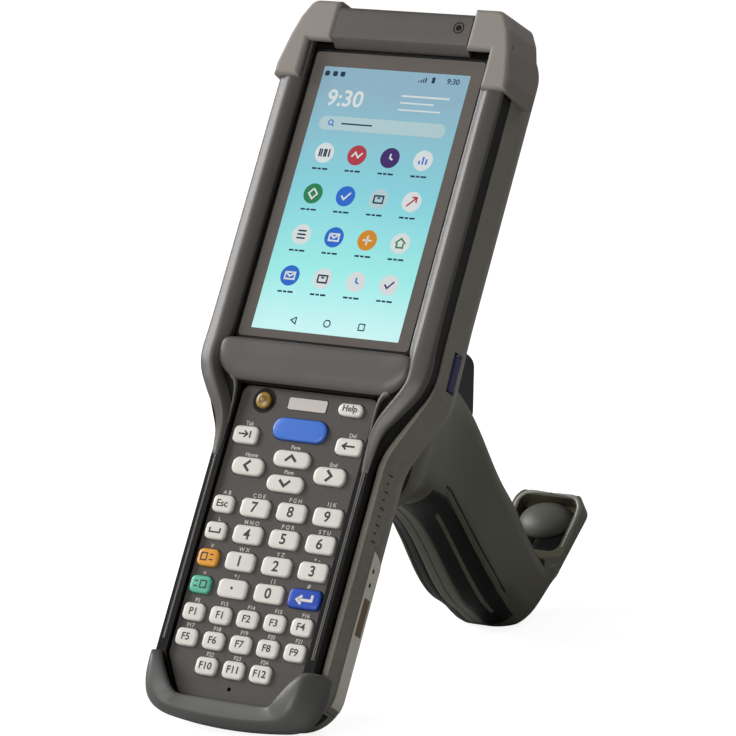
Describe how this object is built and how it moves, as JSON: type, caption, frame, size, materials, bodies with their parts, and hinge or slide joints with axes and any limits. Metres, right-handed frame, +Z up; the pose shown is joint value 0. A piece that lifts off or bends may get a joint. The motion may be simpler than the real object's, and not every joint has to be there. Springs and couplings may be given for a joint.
{
  "type": "portable barcode data terminal",
  "caption": "Rugged handheld data terminal with touch screen, keypad, corner bumpers and a pistol-grip scan handle, standing on its bottom edge and heel.",
  "frame": {"origin": "on the surface it stands on, under the centre of its bounding box", "axes": "+Z up, +X to the right of the screen, -Y the side the screen faces, leaned back 30 degrees from upright"},
  "size_m": [0.085, 0.2102, 0.2066],
  "materials": {
    "housing_grey": "fine satin grain",
    "inner_black": "matt black",
    "band_grey": "speckled grain",
    "bumper_rubber": "soft matt over-moulding",
    "display_glass": "polished",
    "display_module": "lit screen",
    "keypad_panel": "fine texture",
    "status_lens": "translucent",
    "silicone": "matt",
    "circuit_board": "solder mask",
    "battery_case": "matt black",
    "scan_glass": "tinted, polished",
    "engine_metal": "die cast",
    "button_blue": "satin",
    "steel": "satin",
    "handle_plastic": "fine grain",
    "trigger_plastic": "fine grain",
    "key_white": "satin",
    "key_blue": "satin",
    "key_dark_blue": "satin",
    "key_orange": "satin",
    "key_green": "satin",
    "key_gold": "satin"
  },
  "bodies": {
    "terminal": {"battery_pack": "battery_case", "bottom_bumper": "bumper_rubber", "case_screws": "steel", "display_glass": "display_glass", "display_module": "display_module", "front_housing": "housing_grey", "handle_shell_left": "handle_plastic", "handle_shell_right": "handle_plastic", "inner_frame": "inner_black", "key_mat": "silicone", "keypad_panel": "keypad_panel", "main_board": "circuit_board", "rear_housing": "band_grey", "scan_engine": "engine_metal", "scan_window": "scan_glass", "status_light": "status_lens", "top_left_bumper": "bumper_rubber", "top_right_bumper": "bumper_rubber", "trigger_pin": "steel", "trigger_spring": "steel"},
    "key_0": {"key_0": "key_white"},
    "key_1": {"key_1": "key_white"},
    "key_2": {"key_2": "key_white"},
    "key_3": {"key_3": "key_white"},
    "key_4": {"key_4": "key_white"},
    "key_5": {"key_5": "key_white"},
    "key_6": {"key_6": "key_white"},
    "key_7": {"key_7": "key_white"},
    "key_8": {"key_8": "key_white"},
    "key_9": {"key_9": "key_white"},
    "key_aux": {"key_aux": "key_white"},
    "key_backspace": {"key_backspace": "key_white"},
    "key_down": {"key_down": "key_white"},
    "key_enter": {"key_enter": "key_dark_blue"},
    "key_esc": {"key_esc": "key_white"},
    "key_f1": {"key_f1": "key_white"},
    "key_f10": {"key_f10": "key_white"},
    "key_f11": {"key_f11": "key_white"},
    "key_f12": {"key_f12": "key_white"},
    "key_f2": {"key_f2": "key_white"},
    "key_f3": {"key_f3": "key_white"},
    "key_f4": {"key_f4": "key_white"},
    "key_f5": {"key_f5": "key_white"},
    "key_f6": {"key_f6": "key_white"},
    "key_f7": {"key_f7": "key_white"},
    "key_f8": {"key_f8": "key_white"},
    "key_f9": {"key_f9": "key_white"},
    "key_green": {"key_green": "key_green"},
    "key_left": {"key_left": "key_white"},
    "key_orange": {"key_orange": "key_orange"},
    "key_p1": {"key_p1": "key_white"},
    "key_point": {"key_point": "key_white"},
    "key_power": {"key_power": "key_gold"},
    "key_right": {"key_right": "key_white"},
    "key_scan": {"key_scan": "key_blue"},
    "key_space": {"key_space": "key_white"},
    "key_tab": {"key_tab": "key_white"},
    "key_up": {"key_up": "key_white"},
    "right_scan_button": {"right_scan_button": "button_blue"},
    "trigger": {"trigger": "trigger_plastic"}
  },
  "joints": [
    {"name": "key_0_press", "type": "slide", "parent": "terminal", "child": "key_0", "axis": [0, 0.866, -0.5], "range_m": [0, 0.0008], "stiffness_N_per_m": 100, "springref_m": -0.004},
    {"name": "key_1_press", "type": "slide", "parent": "terminal", "child": "key_1", "axis": [0, 0.866, -0.5], "range_m": [0, 0.0008], "stiffness_N_per_m": 100, "springref_m": -0.004},
    {"name": "key_2_press", "type": "slide", "parent": "terminal", "child": "key_2", "axis": [0, 0.866, -0.5], "range_m": [0, 0.0008], "stiffness_N_per_m": 100, "springref_m": -0.004},
    {"name": "key_3_press", "type": "slide", "parent": "terminal", "child": "key_3", "axis": [0, 0.866, -0.5], "range_m": [0, 0.0008], "stiffness_N_per_m": 100, "springref_m": -0.004},
    {"name": "key_4_press", "type": "slide", "parent": "terminal", "child": "key_4", "axis": [0, 0.866, -0.5], "range_m": [0, 0.0008], "stiffness_N_per_m": 100, "springref_m": -0.004},
    {"name": "key_5_press", "type": "slide", "parent": "terminal", "child": "key_5", "axis": [0, 0.866, -0.5], "range_m": [0, 0.0008], "stiffness_N_per_m": 100, "springref_m": -0.004},
    {"name": "key_6_press", "type": "slide", "parent": "terminal", "child": "key_6", "axis": [0, 0.866, -0.5], "range_m": [0, 0.0008], "stiffness_N_per_m": 100, "springref_m": -0.004},
    {"name": "key_7_press", "type": "slide", "parent": "terminal", "child": "key_7", "axis": [0, 0.866, -0.5], "range_m": [0, 0.0008], "stiffness_N_per_m": 100, "springref_m": -0.004},
    {"name": "key_8_press", "type": "slide", "parent": "terminal", "child": "key_8", "axis": [0, 0.866, -0.5], "range_m": [0, 0.0008], "stiffness_N_per_m": 100, "springref_m": -0.004},
    {"name": "key_9_press", "type": "slide", "parent": "terminal", "child": "key_9", "axis": [0, 0.866, -0.5], "range_m": [0, 0.0008], "stiffness_N_per_m": 100, "springref_m": -0.004},
    {"name": "key_aux_press", "type": "slide", "parent": "terminal", "child": "key_aux", "axis": [0, 0.866, -0.5], "range_m": [0, 0.0008], "stiffness_N_per_m": 100, "springref_m": -0.004},
    {"name": "key_backspace_press", "type": "slide", "parent": "terminal", "child": "key_backspace", "axis": [0, 0.866, -0.5], "range_m": [0, 0.0008], "stiffness_N_per_m": 100, "springref_m": -0.004},
    {"name": "key_down_press", "type": "slide", "parent": "terminal", "child": "key_down", "axis": [0, 0.866, -0.5], "range_m": [0, 0.0008], "stiffness_N_per_m": 100, "springref_m": -0.004},
    {"name": "key_enter_press", "type": "slide", "parent": "terminal", "child": "key_enter", "axis": [0, 0.866, -0.5], "range_m": [0, 0.0008], "stiffness_N_per_m": 100, "springref_m": -0.004},
    {"name": "key_esc_press", "type": "slide", "parent": "terminal", "child": "key_esc", "axis": [0, 0.866, -0.5], "range_m": [0, 0.0008], "stiffness_N_per_m": 100, "springref_m": -0.004},
    {"name": "key_f1_press", "type": "slide", "parent": "terminal", "child": "key_f1", "axis": [0, 0.866, -0.5], "range_m": [0, 0.0008], "stiffness_N_per_m": 100, "springref_m": -0.004},
    {"name": "key_f10_press", "type": "slide", "parent": "terminal", "child": "key_f10", "axis": [0, 0.866, -0.5], "range_m": [0, 0.0008], "stiffness_N_per_m": 100, "springref_m": -0.004},
    {"name": "key_f11_press", "type": "slide", "parent": "terminal", "child": "key_f11", "axis": [0, 0.866, -0.5], "range_m": [0, 0.0008], "stiffness_N_per_m": 100, "springref_m": -0.004},
    {"name": "key_f12_press", "type": "slide", "parent": "terminal", "child": "key_f12", "axis": [0, 0.866, -0.5], "range_m": [0, 0.0008], "stiffness_N_per_m": 100, "springref_m": -0.004},
    {"name": "key_f2_press", "type": "slide", "parent": "terminal", "child": "key_f2", "axis": [0, 0.866, -0.5], "range_m": [0, 0.0008], "stiffness_N_per_m": 100, "springref_m": -0.004},
    {"name": "key_f3_press", "type": "slide", "parent": "terminal", "child": "key_f3", "axis": [0, 0.866, -0.5], "range_m": [0, 0.0008], "stiffness_N_per_m": 100, "springref_m": -0.004},
    {"name": "key_f4_press", "type": "slide", "parent": "terminal", "child": "key_f4", "axis": [0, 0.866, -0.5], "range_m": [0, 0.0008], "stiffness_N_per_m": 100, "springref_m": -0.004},
    {"name": "key_f5_press", "type": "slide", "parent": "terminal", "child": "key_f5", "axis": [0, 0.866, -0.5], "range_m": [0, 0.0008], "stiffness_N_per_m": 100, "springref_m": -0.004},
    {"name": "key_f6_press", "type": "slide", "parent": "terminal", "child": "key_f6", "axis": [0, 0.866, -0.5], "range_m": [0, 0.0008], "stiffness_N_per_m": 100, "springref_m": -0.004},
    {"name": "key_f7_press", "type": "slide", "parent": "terminal", "child": "key_f7", "axis": [0, 0.866, -0.5], "range_m": [0, 0.0008], "stiffness_N_per_m": 100, "springref_m": -0.004},
    {"name": "key_f8_press", "type": "slide", "parent": "terminal", "child": "key_f8", "axis": [0, 0.866, -0.5], "range_m": [0, 0.0008], "stiffness_N_per_m": 100, "springref_m": -0.004},
    {"name": "key_f9_press", "type": "slide", "parent": "terminal", "child": "key_f9", "axis": [0, 0.866, -0.5], "range_m": [0, 0.0008], "stiffness_N_per_m": 100, "springref_m": -0.004},
    {"name": "key_green_press", "type": "slide", "parent": "terminal", "child": "key_green", "axis": [0, 0.866, -0.5], "range_m": [0, 0.0008], "stiffness_N_per_m": 100, "springref_m": -0.004},
    {"name": "key_left_press", "type": "slide", "parent": "terminal", "child": "key_left", "axis": [0, 0.866, -0.5], "range_m": [0, 0.0008], "stiffness_N_per_m": 100, "springref_m": -0.004},
    {"name": "key_orange_press", "type": "slide", "parent": "terminal", "child": "key_orange", "axis": [0, 0.866, -0.5], "range_m": [0, 0.0008], "stiffness_N_per_m": 100, "springref_m": -0.004},
    {"name": "key_p1_press", "type": "slide", "parent": "terminal", "child": "key_p1", "axis": [0, 0.866, -0.5], "range_m": [0, 0.0008], "stiffness_N_per_m": 100, "springref_m": -0.004},
    {"name": "key_point_press", "type": "slide", "parent": "terminal", "child": "key_point", "axis": [0, 0.866, -0.5], "range_m": [0, 0.0008], "stiffness_N_per_m": 100, "springref_m": -0.004},
    {"name": "key_power_press", "type": "slide", "parent": "terminal", "child": "key_power", "axis": [0, 0.866, -0.5], "range_m": [0, 0.0008], "stiffness_N_per_m": 100, "springref_m": -0.004},
    {"name": "key_right_press", "type": "slide", "parent": "terminal", "child": "key_right", "axis": [0, 0.866, -0.5], "range_m": [0, 0.0008], "stiffness_N_per_m": 100, "springref_m": -0.004},
    {"name": "key_scan_press", "type": "slide", "parent": "terminal", "child": "key_scan", "axis": [0, 0.866, -0.5], "range_m": [0, 0.0008], "stiffness_N_per_m": 100, "springref_m": -0.004},
    {"name": "key_space_press", "type": "slide", "parent": "terminal", "child": "key_space", "axis": [0, 0.866, -0.5], "range_m": [0, 0.0008], "stiffness_N_per_m": 100, "springref_m": -0.004},
    {"name": "key_tab_press", "type": "slide", "parent": "terminal", "child": "key_tab", "axis": [0, 0.866, -0.5], "range_m": [0, 0.0008], "stiffness_N_per_m": 100, "springref_m": -0.004},
    {"name": "key_up_press", "type": "slide", "parent": "terminal", "child": "key_up", "axis": [0, 0.866, -0.5], "range_m": [0, 0.0008], "stiffness_N_per_m": 100, "springref_m": -0.004},
    {"name": "scan_button_press", "type": "slide", "parent": "terminal", "child": "right_scan_button", "axis": [-1, 0, 0], "range_m": [0, 0.0008], "stiffness_N_per_m": 100, "springref_m": -0.004},
    {"name": "trigger_pull", "type": "hinge", "parent": "terminal", "child": "trigger", "pos_m": [0, -0.00796, 0.09888], "axis": [-1, 0, 0], "range_deg": [0, 8], "stiffness_Nm_per_rad": 0.3, "springref_deg": -17.19, "deforming": ["trigger_spring"]}
  ]
}
